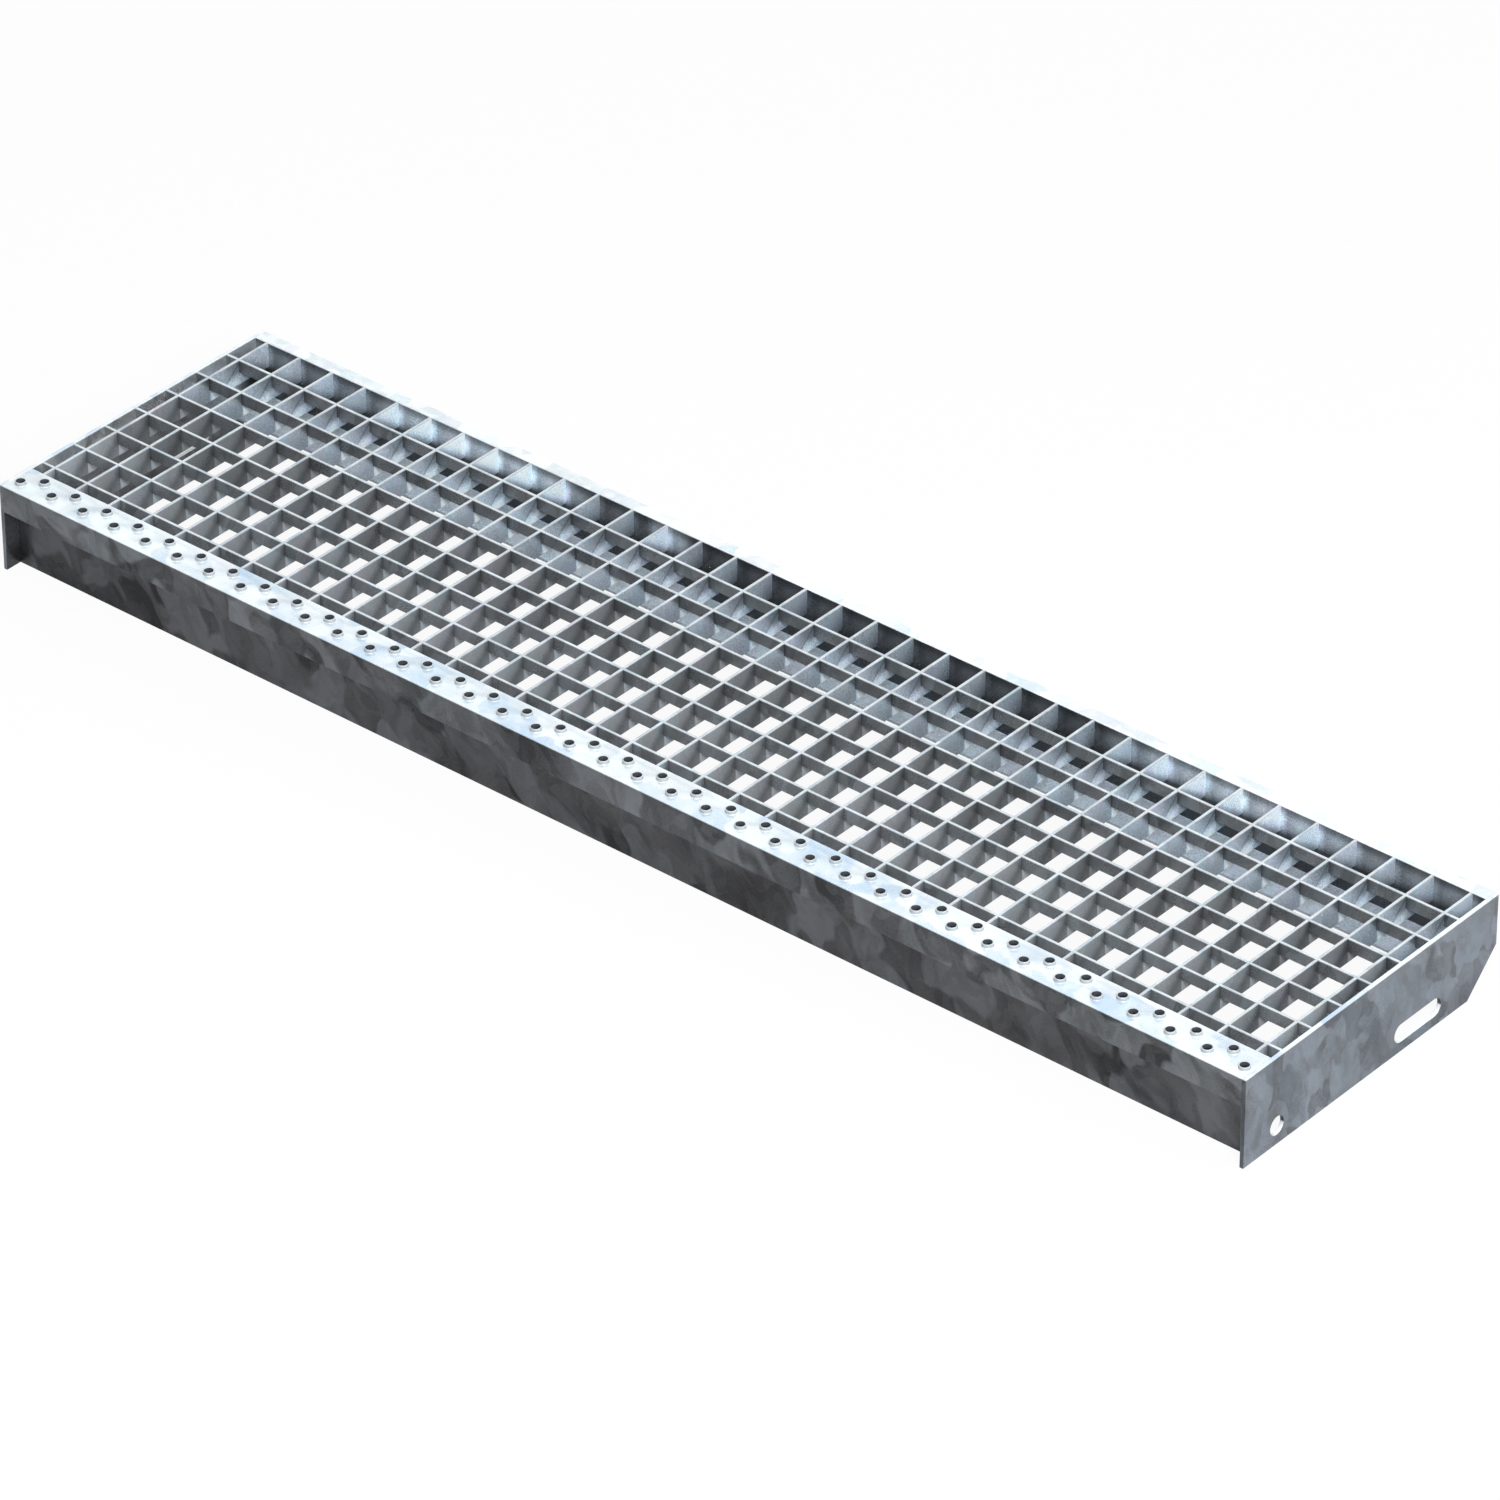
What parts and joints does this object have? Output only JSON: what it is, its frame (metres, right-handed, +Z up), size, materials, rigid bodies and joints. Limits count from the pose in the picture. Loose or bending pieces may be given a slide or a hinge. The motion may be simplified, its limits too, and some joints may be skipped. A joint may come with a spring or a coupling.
{
  "type": "metal stair tread",
  "caption": "Galvanised steel grating stair tread with a raised-hole anti-slip nosing, deep front plate, folded rear plate and end plates that bolt to the strings.",
  "frame": {"origin": "middle of the footprint, at the foot of the end plates", "axes": "+X along the tread to the right end, +Y from the nosing to the rear edge, +Z up"},
  "size_m": [1.1, 0.27, 0.073],
  "materials": {
    "end_plate_zinc": "hot-dip galvanised, soft spangle",
    "nosing_zinc": "hot-dip galvanised, soft spangle",
    "sheet_zinc": "hot-dip galvanised, soft spangle",
    "bearing_bar_zinc": "hot-dip galvanised, soft spangle",
    "cross_bar_zinc": "hot-dip galvanised, soft spangle"
  },
  "bodies": {
    "root": {"left_end_plate": "end_plate_zinc", "right_end_plate": "end_plate_zinc", "nosing": "nosing_zinc", "front_plate": "sheet_zinc", "rear_plate": "sheet_zinc", "bearing_bar_01": "bearing_bar_zinc", "bearing_bar_02": "bearing_bar_zinc", "bearing_bar_03": "bearing_bar_zinc", "bearing_bar_04": "bearing_bar_zinc", "bearing_bar_05": "bearing_bar_zinc", "bearing_bar_06": "bearing_bar_zinc", "bearing_bar_07": "bearing_bar_zinc", "bearing_bar_08": "bearing_bar_zinc", "bearing_bar_09": "bearing_bar_zinc", "bearing_bar_10": "bearing_bar_zinc", "bearing_bar_11": "bearing_bar_zinc", "bearing_bar_12": "bearing_bar_zinc", "bearing_bar_13": "bearing_bar_zinc", "bearing_bar_14": "bearing_bar_zinc", "bearing_bar_15": "bearing_bar_zinc", "bearing_bar_16": "bearing_bar_zinc", "bearing_bar_17": "bearing_bar_zinc", "bearing_bar_18": "bearing_bar_zinc", "bearing_bar_19": "bearing_bar_zinc", "bearing_bar_20": "bearing_bar_zinc", "bearing_bar_21": "bearing_bar_zinc", "bearing_bar_22": "bearing_bar_zinc", "bearing_bar_23": "bearing_bar_zinc", "bearing_bar_24": "bearing_bar_zinc", "bearing_bar_25": "bearing_bar_zinc", "bearing_bar_26": "bearing_bar_zinc", "bearing_bar_27": "bearing_bar_zinc", "bearing_bar_28": "bearing_bar_zinc", "bearing_bar_29": "bearing_bar_zinc", "bearing_bar_30": "bearing_bar_zinc", "bearing_bar_31": "bearing_bar_zinc", "bearing_bar_32": "bearing_bar_zinc", "bearing_bar_33": "bearing_bar_zinc", "bearing_bar_34": "bearing_bar_zinc", "bearing_bar_35": "bearing_bar_zinc", "cross_bar_1": "cross_bar_zinc", "cross_bar_2": "cross_bar_zinc", "cross_bar_3": "cross_bar_zinc", "cross_bar_4": "cross_bar_zinc", "cross_bar_5": "cross_bar_zinc", "cross_bar_6": "cross_bar_zinc", "cross_bar_7": "cross_bar_zinc"}
  },
  "joints": []
}
